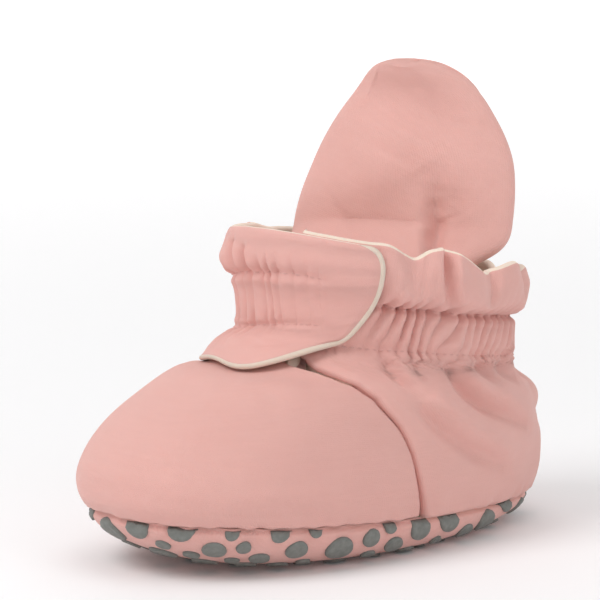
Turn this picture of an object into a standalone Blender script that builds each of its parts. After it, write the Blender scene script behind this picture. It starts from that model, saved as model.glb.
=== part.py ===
# Baby bootie slipper, left foot: a soft hull sole, a padded upper with a gathered ankle,
# a closure flap wrapped over the front, and a tall padded tongue.
# Units are metres. The toe points to -Y, the wearer's left is +X, and the sole rests on z = 0.

import math

import bmesh
import bpy
from mathutils import Vector

# Driving sizes of the body
LENGTH = 0.120  # toe to heel, over the fullest part of the upper
BALL_WIDTH = 0.070  # fullness of the front half, before the toe rounds in
HEEL_WIDTH = 0.059
TOE_SEAM_HEIGHT = 0.0125  # the sole's rim, which turns up all round
SIDE_SEAM_HEIGHT = 0.0088
HEEL_SEAM_HEIGHT = 0.0058
OUTLINE_POWER = 0.84  # under 1, so that the outline is fuller than an ellipse

# Driving sizes of the ankle
ANKLE_LENGTH = 0.0630
ANKLE_WIDTH = 0.0525
ANKLE_CENTRE = 0.0168  # behind the middle of the sole
INSTEP_HEIGHT = 0.0475  # lower edge of the elastic band, at the front
HEEL_HEIGHT = 0.0370  # lower edge of the elastic band, at the heel
BAND_HEIGHT = 0.0095
RUFFLE_FRONT = 0.0140  # the ruffle's height at the front
RUFFLE_BACK = 0.0095  # and at the heel
RUFFLE_FLARE = 0.0018
RUFFLE_WAVE = 0.0018  # swing of the ruffle's folds, outwards and upwards
RUFFLE_WAVES = 11
RUFFLE_PEAK = 86.0  # degrees from the toe to the place where one fold's rim stands highest
RIM_TUCK = 0.25  # share of the ruffle's height that the rim behind the flap stays lower

# Driving sizes of the cloth
WALL = 0.0020
SOLE_THICKNESS = 0.0020
INSOLE_THICKNESS = 0.0030
FLAP_THICKNESS = 0.0025
WING_STEP = 0.0012  # the inner wing's edge over the toe panel
SEAM_WIDTH = 2.0  # degrees over which the wall steps at a wing's edge
FLAP_SEAM_WIDTH = 2.8  # degrees from the step to the flap's root
CLEARANCE = 0.0003

# Driving sizes of the tongue
TONGUE_TOP = 0.1042
TONGUE_DROP = 0.0040  # how far its sewn root lies below the band
TONGUE_WIDTH = 0.0500
TONGUE_THICKNESS = 0.0085
TONGUE_TURN = 30.0  # degrees, towards the wearer's left
TONGUE_BOW = 0.0040  # how far its side edges lie behind its middle
TONGUE_PLUMP = 0.8  # under 1, so that its section is fuller than an ellipse

# Closure flap, in degrees round the ankle from the front, and in levels of the upper
FLAP_ROOT = -60.0
FLAP_END = 57.0
TUCK_FADE = 16.0  # degrees over which the rim behind the flap drops and rises again
WAVES_STOP = 20.0  # degrees from the front, towards the root, where the ruffle's folds end
WAVES_FADE = 25.0

COLUMNS_PANEL = 12  # from the toe's middle to a wing's edge
COLUMNS_WING = 26  # from a wing's edge to the heel's middle
NORMAL_STEP = 0.02  # radians and levels either side of a point, for its normal


def clamp(value, low=0.0, high=1.0):
    return max(low, min(high, value))


def ease(value, low, high):
    share = clamp((value - low) / (high - low))
    return share * share * (3 - 2 * share)


def mix(a, b, share):
    return a + (b - a) * share


def table(columns, rows):
    """Rows of numbers as dictionaries keyed by column name."""
    return [dict(zip(columns.split(), row)) for row in rows]


def smooth_at(rows, position):
    """A smooth curve through a table's rows, read at a fractional row."""
    last = len(rows) - 1
    position = clamp(position, 0.0, float(last))
    i = min(int(position), last - 1)
    t = position - i
    a, b, c, d = (rows[clamp(k, 0, last)] for k in (i - 1, i, i + 1, i + 2))
    return {
        key: 0.5
        * (
            2 * b[key]
            + (c[key] - a[key]) * t
            + (2 * a[key] - 5 * b[key] + 4 * c[key] - d[key]) * t * t
            + (3 * b[key] - a[key] - 3 * c[key] + d[key]) * t**3
        )
        for key in b
    }


# Levels of the upper from the sole seam to the band. toe and heel: how far a ring reaches from the
# ankle to the toe's or heel's end. ball and back: how far it widens from the ankle to the full
# width. The rises run from the seam to the band's lower edge.
BODY = table(
    "toe heel ball back rise_front rise_side rise_back",
    [
        (0.945, 0.69, 0.74, 0.40, 0.000, 0.000, 0.000),
        (1.000, 0.90, 0.93, 0.78, 0.115, 0.120, 0.145),
        (0.995, 1.00, 1.00, 1.00, 0.255, 0.290, 0.380),
        (0.905, 0.93, 0.94, 1.00, 0.430, 0.470, 0.600),
        (0.725, 0.66, 0.75, 0.76, 0.610, 0.640, 0.780),
        (0.490, 0.35, 0.48, 0.40, 0.765, 0.800, 0.900),
        (0.245, 0.12, 0.20, 0.13, 0.860, 0.915, 0.970),
        (0.000, 0.00, 0.00, 0.00, 1.000, 1.000, 1.000),
    ],
)
# Levels of the elastic band and the ruffle, which follow the same ring of the ankle.
COLLAR = table(
    "band ruffle flare wave",
    [
        (0.50, 0.00, -0.12, 0.00),
        (1.00, 0.00, 0.00, 0.00),
        (1.00, 0.33, 0.65, 0.40),
        (1.00, 0.68, 1.00, 0.80),
        (1.00, 1.00, 0.90, 1.00),
    ],
)
THROAT = len(BODY) - 1
BAND_TOP = THROAT + 2
PASSING_LOW = 5.2  # levels between which the wall moves in to pass behind the flap
PASSING_HIGH = 6.1
PANEL_EASE = 2.4  # level by which the toe panel lies its full step below the wings

# The wings' front edges over the toe panel: degrees from the toe at each level.
WING_EDGES = table(
    "left right",
    [
        (96.0, 96.0),
        (94.5, 94.5),
        (92.0, 92.0),
        (88.5, 88.5),
        (82.5, 82.5),
        (71.0, 71.0),
        (50.0, 60.0),
        (36.0, 60.0),
        (38.0, 60.0),
        (42.0, 60.0),
        (46.0, 60.0),
        (50.0, 60.0),
        (55.0, 60.0),
    ],
)


def body_ring(row):
    ankle_front = ANKLE_CENTRE - ANKLE_LENGTH / 2
    ankle_back = ANKLE_CENTRE + ANKLE_LENGTH / 2
    side_height = (INSTEP_HEIGHT + HEEL_HEIGHT) / 2
    return {
        "front": mix(ankle_front, -LENGTH / 2, row["toe"]),
        "back": mix(ankle_back, LENGTH / 2, row["heel"]),
        "ball": mix(ANKLE_WIDTH, BALL_WIDTH, row["ball"]) / 2,
        "heel": mix(ANKLE_WIDTH, HEEL_WIDTH, row["back"]) / 2,
        "z_front": mix(TOE_SEAM_HEIGHT, INSTEP_HEIGHT, row["rise_front"]),
        "z_side": mix(SIDE_SEAM_HEIGHT, side_height, row["rise_side"]),
        "z_back": mix(HEEL_SEAM_HEIGHT, HEEL_HEIGHT, row["rise_back"]),
        "wave": 0.0,
    }


def collar_ring(row):
    ring = body_ring(BODY[THROAT])
    flare = row["flare"] * RUFFLE_FLARE
    band = row["band"] * BAND_HEIGHT
    ring["front"] -= flare
    ring["back"] += flare
    ring["ball"] += flare
    ring["heel"] += flare
    ring["z_front"] += band + row["ruffle"] * RUFFLE_FRONT
    ring["z_side"] += band + row["ruffle"] * (RUFFLE_FRONT + RUFFLE_BACK) / 2
    ring["z_back"] += band + row["ruffle"] * RUFFLE_BACK
    ring["wave"] = row["wave"] * RUFFLE_WAVE
    return ring


RINGS = [body_ring(row) for row in BODY] + [collar_ring(row) for row in COLLAR]


def ring_point(ring, angle):
    """A point on a ring. The angle is 0 at the toe and turns towards the wearer's left."""
    cos = math.cos(angle)
    sin = math.sin(angle)
    middle = (ring["front"] + ring["back"]) / 2
    reach = (ring["back"] - ring["front"]) / 2
    half = mix(ring["heel"], ring["ball"], 0.5 + 0.5 * cos)
    x = half * math.copysign(abs(sin) ** OUTLINE_POWER, sin)
    y = middle - reach * cos
    slope = (ring["z_front"] - ring["z_back"]) / 2
    bow = (ring["z_front"] + ring["z_back"]) / 2 - ring["z_side"]
    z = ring["z_side"] + slope * cos + bow * cos * cos
    if ring["wave"]:
        swing = ring["wave"] * wave_share(angle)
        turn = RUFFLE_WAVES * (angle - math.radians(RUFFLE_PEAK))
        out = Vector((x, y - ANKLE_CENTRE)).normalized() * swing * math.sin(turn)
        x += out.x
        y += out.y
        z += swing * math.cos(turn)
    return Vector((x, y, z))


def wave_share(angle):
    """The ruffle lies flat behind the flap, and waves round the rest of the collar."""
    degrees = math.degrees(math.atan2(math.sin(angle), math.cos(angle)))
    if degrees > 0:
        return ease(degrees, FLAP_END, FLAP_END + WAVES_FADE)
    return ease(-degrees, WAVES_STOP, WAVES_STOP + WAVES_FADE)


def surface_point(angle, level, inset=0.0):
    """A point of the upper's outer form, moved in along its normal."""
    point = ring_point(smooth_at(RINGS, level), angle)
    if not inset:
        return point
    return point - surface_normal(angle, level) * inset


def surface_normal(angle, level):
    low = smooth_at(RINGS, level - NORMAL_STEP)
    high = smooth_at(RINGS, level + NORMAL_STEP)
    along = ring_point(high, angle) - ring_point(low, angle)
    ring = smooth_at(RINGS, level)
    around = ring_point(ring, angle + NORMAL_STEP) - ring_point(ring, angle - NORMAL_STEP)
    return around.cross(along).normalized()


def under_flap(angle):
    """How far the wall lies inside the outer form so that the flap can pass over it."""
    degrees = math.degrees(angle)
    share = clamp((FLAP_END - degrees) / (FLAP_END - FLAP_ROOT))
    return (FLAP_THICKNESS + CLEARANCE) * share


def upper_columns():
    """Columns round the upper: region, share across the region, from the toe round to the toe."""
    panel = [("panel_left", k / COLUMNS_PANEL) for k in range(COLUMNS_PANEL + 1)]
    left = [("left", k / COLUMNS_WING) for k in range(COLUMNS_WING)]
    right = [("right", k / COLUMNS_WING) for k in range(COLUMNS_WING + 1)]
    rest = [("panel_right", k / COLUMNS_PANEL) for k in range(COLUMNS_PANEL)]
    return panel + left + right + rest


def upper_angle(region, share, level):
    edges = smooth_at(WING_EDGES, level)
    left = edges["left"]
    right = edges["right"]
    if region == "panel_left":
        degrees = left * share
    elif region == "left":
        degrees = mix(left + SEAM_WIDTH, 180.0, share)
    elif region == "right":
        degrees = mix(-180.0, -right, share)
    else:
        degrees = mix(-right + SEAM_WIDTH, 0.0, share)
    return math.radians(degrees)


def upper_inset(region, angle, level):
    """Depth of the wall's outer face below the outer form: the wings step over the toe panel."""
    passing = under_flap(angle)
    lift = ease(level, PASSING_LOW, PASSING_HIGH)
    if region == "right":
        return 0.0
    if region == "left":
        return passing * lift
    edges = smooth_at(WING_EDGES, level)
    across = (math.radians(edges["left"]) - angle) / math.radians(edges["left"] + edges["right"])
    panel = mix(WING_STEP, FLAP_THICKNESS + CLEARANCE, clamp(across))
    return mix(panel, passing, lift)


UPPER_ROWS = [0, 0.7, 1.4, 2.1, 2.9, 3.7, 4.5, 5.2, 5.8, 6.3, 6.6, 6.85, 7.1, 7.4, 7.8, 8.4]
UPPER_ROWS += [9, 9.8, 10.6, 11.3, 12]


def rim_inset_point(angle, level, inset):
    """A point moved in level with the rim, so that the upper and the sole meet face to face."""
    normal = surface_normal(angle, level)
    flat = Vector((normal.x, normal.y, 0.0)).normalized()
    return surface_point(angle, level) - flat * inset


def tucked(level, angle):
    if level <= BAND_TOP:
        return level
    degrees = math.degrees(angle)
    falling = ease(degrees, FLAP_ROOT + SEAM_WIDTH, FLAP_ROOT + TUCK_FADE)
    behind = falling * (1 - ease(degrees, FLAP_END - TUCK_FADE, FLAP_END))
    return BAND_TOP + (level - BAND_TOP) * (1 - RIM_TUCK * behind)


def upper_grid(extra):
    rows = []
    for level in UPPER_ROWS:
        row = []
        for region, share in upper_columns():
            angle = upper_angle(region, share, level)
            inset = upper_inset(region, angle, level) * ease(level, 0.0, PANEL_EASE) + extra
            if level == 0:
                point = rim_inset_point(angle, level, inset)
                point.z += CLEARANCE
            else:
                point = surface_point(angle, tucked(level, angle), inset)
            row.append(point)
        rows.append(row)
    return rows


def new_object(name, mesh_maker, material, smooth_angle=50.0):
    mesh = bpy.data.meshes.new(name)
    bm = bmesh.new()
    mesh_maker(bm)
    bmesh.ops.recalc_face_normals(bm, faces=bm.faces)
    if bm.calc_volume(signed=True) < 0:
        bmesh.ops.reverse_faces(bm, faces=bm.faces)
    bm.to_mesh(mesh)
    bm.free()
    mesh.materials.append(material)
    mesh.shade_smooth()
    mesh.set_sharp_from_angle(angle=math.radians(smooth_angle))
    obj = bpy.data.objects.new(name, mesh)
    bpy.context.scene.collection.objects.link(obj)
    return obj


def add_rows(bm, rows):
    return [[bm.verts.new(point) for point in row] for row in rows]


def join_rows(bm, low, high, closed=True):
    count = len(low) if closed else len(low) - 1
    for k in range(count):
        n = (k + 1) % len(low)
        bm.faces.new((low[k], low[n], high[n], high[k]))


def make_upper(bm):
    outer = add_rows(bm, upper_grid(0.0))
    inner = add_rows(bm, upper_grid(WALL))
    for rows in (outer, inner):
        for low, high in zip(rows, rows[1:]):
            join_rows(bm, low, high)
    join_rows(bm, outer[0], inner[0])
    join_rows(bm, outer[-1], inner[-1])


# The sole's hull from its rim to the flat that it rests on: shares of the seam's outline, and of
# its height at the toe, side and heel.
HULL = table(
    "toe heel side rise_front rise_side rise_back",
    [
        (1.000, 1.000, 1.000, 1.00, 1.00, 1.00),
        (0.962, 0.985, 0.985, 0.72, 0.62, 0.62),
        (0.860, 0.930, 0.920, 0.42, 0.27, 0.30),
        (0.720, 0.830, 0.810, 0.17, 0.07, 0.09),
        (0.540, 0.680, 0.640, 0.00, 0.00, 0.00),
    ],
)
HULL_ROWS = [0, 0.7, 1.4, 2.1, 2.8, 3.5, 4]


def hull_point(angle, level, inset=0.0):
    row = smooth_at(HULL, level)
    seam = RINGS[0]
    ring = {
        "front": seam["front"] * row["toe"],
        "back": seam["back"] * row["heel"],
        "ball": seam["ball"] * row["side"],
        "heel": seam["heel"] * row["side"],
        "z_front": seam["z_front"] * row["rise_front"],
        "z_side": seam["z_side"] * row["rise_side"],
        "z_back": seam["z_back"] * row["rise_back"],
        "wave": 0.0,
    }
    point = ring_point(ring, angle)
    if not inset:
        return point
    return point - hull_normal(angle, level) * inset


def hull_normal(angle, level):
    if level <= 0:
        normal = surface_normal(angle, 0)
        return Vector((normal.x, normal.y, 0.0)).normalized()
    if level >= len(HULL) - 1:
        return Vector((0.0, 0.0, -1.0))
    along = hull_point(angle, level - NORMAL_STEP) - hull_point(angle, level + NORMAL_STEP)
    around = hull_point(angle + NORMAL_STEP, level) - hull_point(angle - NORMAL_STEP, level)
    return around.cross(along).normalized()


def hull_grid(levels, inset):
    grid = []
    for level in levels:
        row = []
        for region, share in upper_columns():
            angle = upper_angle(region, share, 0)
            row.append(hull_point(angle, level, inset))
        grid.append(row)
    return grid


def make_sole(bm):
    outer = add_rows(bm, hull_grid(HULL_ROWS, 0.0))
    inner = add_rows(bm, hull_grid(HULL_ROWS, SOLE_THICKNESS))
    for rows in (outer, inner):
        for low, high in zip(rows, rows[1:]):
            join_rows(bm, low, high)
        bm.faces.new(rows[-1])
    join_rows(bm, outer[0], inner[0])


INSOLE_ROWS = [1.2, 2, 3, 4]


def make_insole(bm):
    depth = SOLE_THICKNESS + CLEARANCE
    under = add_rows(bm, hull_grid(INSOLE_ROWS, depth))
    top = add_rows(bm, hull_grid(INSOLE_ROWS, depth + INSOLE_THICKNESS))
    for rows in (under, top):
        for low, high in zip(rows, rows[1:]):
            join_rows(bm, low, high)
        bm.faces.new(rows[-1])
    join_rows(bm, under[0], top[0])


# The tongue's sections from its sewn root to its top. back: from the throat's inner wall, as a share
# of the ankle's length. rise: share of the height from root to top. The rest are shares of the
# tongue's own turn, width, thickness and bow.
TONGUE = table(
    "back rise turn wide thick bow",
    [
        (0.026, 0.000, 0.00, 0.40, 0.26, 1.00),
        (0.034, 0.070, 0.00, 0.44, 0.34, 1.05),
        (0.170, 0.150, 0.35, 0.56, 0.52, 0.80),
        (0.330, 0.240, 0.80, 0.75, 0.72, 0.60),
        (0.450, 0.320, 1.00, 0.90, 0.86, 0.60),
        (0.533, 0.388, 1.00, 1.00, 0.96, 0.75),
        (0.559, 0.454, 1.00, 1.01, 1.00, 0.80),
        (0.584, 0.564, 1.00, 0.98, 1.00, 0.80),
        (0.606, 0.675, 1.00, 0.91, 0.97, 0.75),
        (0.621, 0.785, 1.00, 0.77, 0.90, 0.60),
        (0.623, 0.896, 1.00, 0.57, 0.78, 0.45),
        (0.594, 0.970, 1.00, 0.36, 0.56, 0.30),
        (0.570, 1.000, 1.00, 0.15, 0.30, 0.10),
    ],
)
TONGUE_SIDES = 24
TONGUE_ROWS = 18
TONGUE_LOOK = 0.3  # rows either side of a section, for its direction


def tongue_section(position):
    row = smooth_at(TONGUE, position)
    throat = ANKLE_CENTRE - ANKLE_LENGTH / 2 + WALL + under_flap(0.0)
    middle = Vector((
        0.0,
        throat + row["back"] * ANKLE_LENGTH,
        mix(INSTEP_HEIGHT - TONGUE_DROP, TONGUE_TOP, row["rise"]),
    ))
    return middle, row


def make_tongue(bm):
    last = len(TONGUE) - 1
    grid = []
    for k in range(TONGUE_ROWS + 1):
        position = last * k / TONGUE_ROWS
        middle, row = tongue_section(position)
        before, _ = tongue_section(max(0.0, position - TONGUE_LOOK))
        after, _ = tongue_section(min(float(last), position + TONGUE_LOOK))
        along = (after - before).normalized()
        turn = math.radians(TONGUE_TURN) * row["turn"]
        across = Vector((math.cos(turn), math.sin(turn), 0.0))
        front = across.cross(along).normalized()
        half = TONGUE_WIDTH / 2 * row["wide"]
        thick = TONGUE_THICKNESS / 2 * row["thick"]
        bow = TONGUE_BOW * row["bow"]
        ring = []
        for n in range(TONGUE_SIDES):
            turn_round = 2 * math.pi * n / TONGUE_SIDES
            side = math.cos(turn_round)
            depth = math.sin(turn_round)
            plump = math.copysign(abs(depth) ** TONGUE_PLUMP, depth)
            offset = plump * thick - bow * side * side
            ring.append(middle + across * half * side + front * offset)
        grid.append(ring)
    rows = add_rows(bm, grid)
    for low, high in zip(rows, rows[1:]):
        join_rows(bm, low, high)
    bm.faces.new(rows[0])
    bm.faces.new(rows[-1])


# The flap's lower and upper edges from its root to its rounded end, in levels of the upper.
FLAP_EDGES = table(
    "along low high",
    [
        (0.00, 5.95, 12.00),
        (0.20, 5.90, 11.45),
        (0.35, 5.85, 11.50),
        (0.50, 6.00, 11.80),
        (0.65, 6.20, 12.00),
        (0.77, 6.45, 12.00),
        (0.835, 6.75, 12.00),
        (0.87, 7.20, 12.00),
        (0.92, 8.00, 12.00),
        (0.957, 8.90, 11.95),
        (0.98, 9.60, 11.85),
        (0.992, 10.15, 11.70),
        (1.00, 10.75, 11.35),
    ],
)
FLAP_COLUMNS = 30
FLAP_ROWS = 11
FLAP_END_POWER = 1.5  # over 1, so that columns crowd towards the rounded end
FLAP_LOW_POWER = 1.4  # over 1, so that rows crowd towards the flared lower edge


def flap_point(along, across, lift):
    edges = flap_edges(along)
    degrees = mix(FLAP_ROOT + FLAP_SEAM_WIDTH, FLAP_END, along)
    level = mix(edges["low"], edges["high"], across)
    angle = math.radians(degrees)
    return surface_point(angle, level, under_flap(angle) - CLEARANCE - lift)


def flap_edges(along):
    for k in range(len(FLAP_EDGES) - 1):
        a = FLAP_EDGES[k]["along"]
        b = FLAP_EDGES[k + 1]["along"]
        if along <= b:
            return smooth_at(FLAP_EDGES, k + (along - a) / (b - a))
    return FLAP_EDGES[-1]


def make_flap(bm):
    grids = []
    for side in (0.0, 1.0):
        grid = []
        for c in range(FLAP_COLUMNS + 1):
            share = c / FLAP_COLUMNS
            along = 1 - (1 - share) ** FLAP_END_POWER
            column = []
            for r in range(FLAP_ROWS + 1):
                across = (r / FLAP_ROWS) ** FLAP_LOW_POWER
                column.append(flap_point(along, across, FLAP_THICKNESS * side))
            grid.append(column)
        grids.append(add_rows(bm, grid))
    under, top = grids
    for grid in grids:
        for low, high in zip(grid, grid[1:]):
            join_rows(bm, low, high, closed=False)
    for grid_row in (0, -1):
        join_rows(bm, under[grid_row], top[grid_row], closed=False)
    for end in (0, -1):
        low = [column[end] for column in under]
        high = [column[end] for column in top]
        join_rows(bm, low, high, closed=False)


def material(name, colour, roughness):
    made = bpy.data.materials.new(name)
    made.use_nodes = True
    shader = made.node_tree.nodes["Principled BSDF"]
    shader.inputs["Base Color"].default_value = (*colour, 1.0)
    shader.inputs["Roughness"].default_value = roughness
    shader.inputs["Metallic"].default_value = 0.0
    return made


def main():
    for obj in list(bpy.data.objects):
        bpy.data.objects.remove(obj, do_unlink=True)
    rose_cloth = material("rose_cloth", (0.78, 0.42, 0.38), 0.9)
    sole_cloth = material("sole_cloth", (0.82, 0.45, 0.42), 0.9)
    cream_cloth = material("cream_cloth", (0.86, 0.74, 0.64), 0.95)
    flap_cloth = material("flap_cloth", (0.72, 0.38, 0.34), 0.9)
    tongue_cloth = material("tongue_cloth", (0.75, 0.40, 0.35), 0.9)
    new_object("sole", make_sole, sole_cloth)
    new_object("insole", make_insole, cream_cloth)
    new_object("upper", make_upper, rose_cloth)
    new_object("tongue", make_tongue, tongue_cloth)
    new_object("closure_flap", make_flap, flap_cloth)


main()
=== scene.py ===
import math

import bpy
import numpy as np
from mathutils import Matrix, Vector


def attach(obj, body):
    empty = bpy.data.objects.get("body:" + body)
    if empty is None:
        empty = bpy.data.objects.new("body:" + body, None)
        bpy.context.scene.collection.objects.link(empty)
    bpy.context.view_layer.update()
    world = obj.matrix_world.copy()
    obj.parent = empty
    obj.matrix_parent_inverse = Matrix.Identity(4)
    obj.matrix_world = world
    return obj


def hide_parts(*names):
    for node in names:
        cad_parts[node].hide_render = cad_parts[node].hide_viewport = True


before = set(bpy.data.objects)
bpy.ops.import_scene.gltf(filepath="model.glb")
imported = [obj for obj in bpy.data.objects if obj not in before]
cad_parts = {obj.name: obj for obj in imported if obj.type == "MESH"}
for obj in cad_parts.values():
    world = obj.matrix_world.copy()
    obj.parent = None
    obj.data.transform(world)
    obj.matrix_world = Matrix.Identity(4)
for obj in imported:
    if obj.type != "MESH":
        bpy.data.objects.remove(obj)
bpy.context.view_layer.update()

print("frame loaded:", ", ".join(sorted(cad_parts)))

# The last that every piece follows, in metres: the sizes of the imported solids
last = {
    "length": 0.120, "ballWidth": 0.070, "heelWidth": 0.059,
    "toeSeam": 0.0125, "sideSeam": 0.0088, "heelSeam": 0.0058,
    "ankleLength": 0.0630, "ankleWidth": 0.0525, "ankleCentre": 0.0168,
    "instep": 0.0475, "heelTop": 0.0370, "band": 0.0095,
    "ruffleFront": 0.0140, "ruffleBack": 0.0095, "flare": 0.0018,
    "outlinePower": 0.84, "flapThick": 0.0028, "flapRoot": -60.0, "flapEnd": 57.0,
}
# toe, heel, ball, back, rise at the front, side and back, from the sole seam to the throat
bodyShares = [
    (0.945, 0.69, 0.74, 0.40, 0.000, 0.000, 0.000),
    (1.000, 0.90, 0.93, 0.78, 0.115, 0.120, 0.145),
    (0.995, 1.00, 1.00, 1.00, 0.255, 0.290, 0.380),
    (0.905, 0.93, 0.94, 1.00, 0.430, 0.470, 0.600),
    (0.725, 0.66, 0.75, 0.76, 0.610, 0.640, 0.780),
    (0.490, 0.35, 0.48, 0.40, 0.765, 0.800, 0.900),
    (0.245, 0.12, 0.20, 0.13, 0.860, 0.915, 0.970),
    (0.000, 0.00, 0.00, 0.00, 1.000, 1.000, 1.000),
]
# band height, ruffle height and flare, from the middle of the band to the rim
collarShares = [(0.5, 0, -0.12), (1, 0, 0), (1, 0.33, 0.65), (1, 0.68, 1.0), (1, 1, 0.9)]
bandTop = 9  # levels: 0 sole seam, 7 throat, 9 upper edge of the band, 12 rim of the ruffle
# level, then degrees from the toe to the front edges of the inner (left) and outer (right) wing
wingRows = np.array([
    (0, 96, 96), (1, 94.5, 94.5), (2, 92, 92), (3, 88.5, 88.5), (4, 82.5, 82.5), (5, 71, 71),
    (5.6, 60.5, 64), (6, 49.5, 60), (6.2, 41, 60), (6.35, 30, 60), (6.5, 20, 60), (6.8, 11, 60),
    (7.2, 9, 60), (8, 10, 60), (9, 12, 60), (10, 14, 60), (11, 16, 60), (12, 18, 60),
])
# toe, heel, side, rise at the front, side and back: the sole from its rim to its flat
hullShares = np.array([
    (1.000, 1.000, 1.000, 1.00, 1.00, 1.00),
    (0.962, 0.970, 0.972, 0.72, 0.62, 0.64),
    (0.860, 0.895, 0.890, 0.42, 0.28, 0.33),
    (0.720, 0.780, 0.770, 0.17, 0.08, 0.11),
    (0.540, 0.640, 0.610, 0.00, 0.00, 0.00),
])


def mix(a, b, share):
    return a + (b - a) * share


def ease(value, low, high):
    share = np.clip((value - low) / (high - low), 0, 1)
    return share * share * (3 - 2 * share)


def bump(value, middle, width):
    return np.exp(-(((value - middle) / width) ** 2))


def readRows(rows, position):  # a smooth curve through the rows of a table
    end = len(rows) - 1
    position = np.clip(np.asarray(position, float), 0, end)
    i = np.minimum(position.astype(int), end - 1)
    t = (position - i)[..., None]
    a, b, c, d = (rows[np.clip(i + k, 0, end)] for k in (-1, 0, 1, 2))
    return 0.5 * (2 * b + (c - a) * t + (2 * a - 5 * b + 4 * c - d) * t**2 + (3 * b - a - 3 * c + d) * t**3)


def wingEdges(levels):
    return readRows(wingRows[:, 1:], np.interp(levels, wingRows[:, 0], np.arange(len(wingRows))))


def buildRings():
    front = last["ankleCentre"] - last["ankleLength"] / 2
    back = last["ankleCentre"] + last["ankleLength"] / 2
    side = (last["instep"] + last["heelTop"]) / 2
    rings = []
    for toe, heel, ball, rear, riseFront, riseSide, riseBack in bodyShares:
        rings.append([
            mix(front, -last["length"] / 2, toe), mix(back, last["length"] / 2, heel),
            mix(last["ankleWidth"], last["ballWidth"], ball) / 2,
            mix(last["ankleWidth"], last["heelWidth"], rear) / 2,
            mix(last["toeSeam"], last["instep"], riseFront),
            mix(last["sideSeam"], side, riseSide), mix(last["heelSeam"], last["heelTop"], riseBack),
        ])
    ankle = rings[-1]
    for band, ruffle, flare in collarShares:
        out, up = flare * last["flare"], band * last["band"]
        sideRuffle = (last["ruffleFront"] + last["ruffleBack"]) / 2
        rings.append([
            ankle[0] - out, ankle[1] + out, ankle[2] + out, ankle[3] + out,
            ankle[4] + up + ruffle * last["ruffleFront"], ankle[5] + up + ruffle * sideRuffle,
            ankle[6] + up + ruffle * last["ruffleBack"],
        ])
    return np.array(rings)


ringRows = buildRings()


def ringPoints(ring, angle):
    front, back, ball, heel, zFront, zSide, zBack = np.moveaxis(ring, -1, 0)
    cos, sin = np.cos(angle), np.sin(angle)
    half = mix(heel, ball, 0.5 + 0.5 * cos)
    x = half * np.sign(sin) * np.abs(sin) ** last["outlinePower"]
    y = (front + back) / 2 - (back - front) / 2 * cos
    z = zSide + (zFront - zBack) / 2 * cos + ((zFront + zBack) / 2 - zSide) * cos * cos
    return np.stack(np.broadcast_arrays(x, y, z), -1)


def lastPoint(degrees, level, height=0.0):  # a point over the last's surface
    point = ringPoints(readRows(ringRows, level), np.radians(degrees))
    if np.all(np.asarray(height) == 0):
        return point
    return point + lastNormal(degrees, level) * np.asarray(height)[..., None]


def lastNormal(degrees, level):
    angle, step = np.radians(degrees), 0.02
    ring = readRows(ringRows, level)
    higher, lower = readRows(ringRows, level + step), readRows(ringRows, level - step)
    along = ringPoints(higher, angle) - ringPoints(lower, angle)
    around = ringPoints(ring, angle + step) - ringPoints(ring, angle - step)
    return unit(np.cross(around, along))


def unit(vectors):
    return vectors / np.maximum(np.linalg.norm(vectors, axis=-1, keepdims=True), 1e-12)


def soleRings(level):
    shares = readRows(hullShares, np.minimum(level, 4))
    seam = ringRows[0]
    into = np.clip(5 - level, 0, 1)  # past the last row the flat closes towards its middle
    return np.stack([
        seam[0] * shares[..., 0] * into, seam[1] * shares[..., 1] * into,
        seam[2] * shares[..., 2] * into, seam[3] * shares[..., 2] * into,
        seam[4] * shares[..., 3], seam[5] * shares[..., 4], seam[6] * shares[..., 5],
    ], -1)


def solePoint(degrees, level):
    return ringPoints(soleRings(np.asarray(level, float)), np.radians(degrees))


def gridNormals(points):
    along = np.gradient(points, axis=1)
    up = np.gradient(points, axis=0)
    return unit(np.cross(along, up))


def arcLengths(points, axis):
    steps = np.linalg.norm(np.diff(points, axis=axis), axis=-1)
    start = np.zeros_like(np.take(steps, [0], axis=axis))
    return np.concatenate([start, np.cumsum(steps, axis=axis)], axis=axis)


def softNoise(points, size, seed, waves=14):  # smooth unevenness, about -1 to 1
    rng = np.random.default_rng(seed)
    total = np.zeros(points.shape[:-1])
    for k in range(waves):
        direction = unit(rng.normal(size=3))
        turn = 2 * math.pi / (size * rng.uniform(0.7, 1.5))
        total += np.sin(points @ direction * turn + rng.uniform(0, 2 * math.pi))
    return total / math.sqrt(waves)


def wobble(value, pitch, seed):  # smooth unevenness along one number
    return softNoise(np.stack([value, value * 0, value * 0], -1), pitch, seed, 8)


def ringNormals(points):  # of a grid that closes on itself, like a tube or a hull
    normals = -gridNormals(points)
    normals[:, 0] = normals[:, -1] = unit(normals[:, 0] + normals[:, -1])
    return normals


def bridged(grid, rounds):  # cloth bridges the hollow between ankle and instep
    grid = grid.copy()
    for _ in range(rounds):
        grid[1:-1] = (grid[:-2] + 2 * grid[1:-1] + grid[2:]) / 4
    return grid


# how a fold is drawn: reach and the ridge's distance and width are in widths of its trough
foldShape = {"steps": 40, "reach": 5, "ridgeAway": 1.9, "ridgeWide": 1.3, "endPower": 0.6}


def onLast(places):  # a fold's line over the last, from levels and degrees
    return lastPoint(places[:, 1], places[:, 0])


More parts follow.
